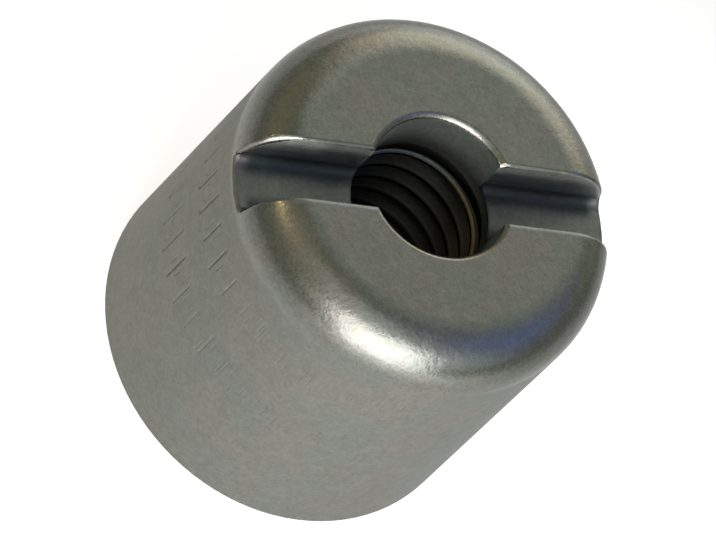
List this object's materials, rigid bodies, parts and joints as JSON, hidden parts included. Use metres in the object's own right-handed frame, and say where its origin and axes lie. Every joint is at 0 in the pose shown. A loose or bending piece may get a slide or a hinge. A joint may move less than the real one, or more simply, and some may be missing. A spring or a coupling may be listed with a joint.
{
  "type": "slotted round union nut",
  "caption": "Round steel union nut with a rounded shoulder, a tapped through hole and a driver slot across one end.",
  "frame": {"origin": "centre of the flat end, which the nut stands on", "axes": "+Z along the nut's axis towards the slotted end, driver slot along X"},
  "size_m": [0.018, 0.018, 0.0169],
  "materials": {
    "steel": "satin"
  },
  "bodies": {
    "root": {"union_nut": "steel"}
  },
  "joints": []
}
